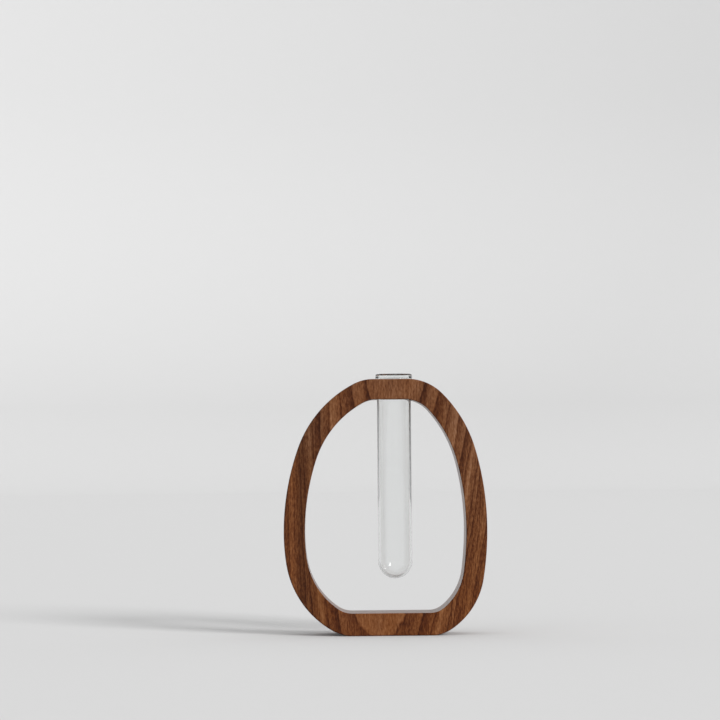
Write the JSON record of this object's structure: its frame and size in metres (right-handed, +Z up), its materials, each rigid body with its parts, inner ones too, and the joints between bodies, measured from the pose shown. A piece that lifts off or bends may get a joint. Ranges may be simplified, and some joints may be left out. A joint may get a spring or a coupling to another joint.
{
  "type": "test tube vase",
  "caption": "Lopsided egg-shaped wooden ring on a flat foot, with a glass test tube hanging by its flared lip in a hole through the top limb, to hold a stem in water.",
  "frame": {"origin": "under the middle of the ring's width and depth, on the surface that its foot stands on", "axes": "+Z up along the tube, +X along the ring's width to the right as seen from the front, and the front face looks towards -Y"},
  "size_m": [0.1484, 0.036, 0.191],
  "materials": {
    "walnut": "fine-sanded walnut with a satin oil finish, upright grain",
    "tube_glass": "clear colourless laboratory glass, smooth, with a fire-polished lip"
  },
  "bodies": {
    "ring": {"walnut_ring": "walnut"},
    "tube": {"glass_tube": "tube_glass"}
  },
  "joints": [
    {"name": "tube_lift", "type": "slide", "parent": "ring", "child": "tube", "axis": [0, 0, 1], "range_m": [0, 0.155]}
  ]
}
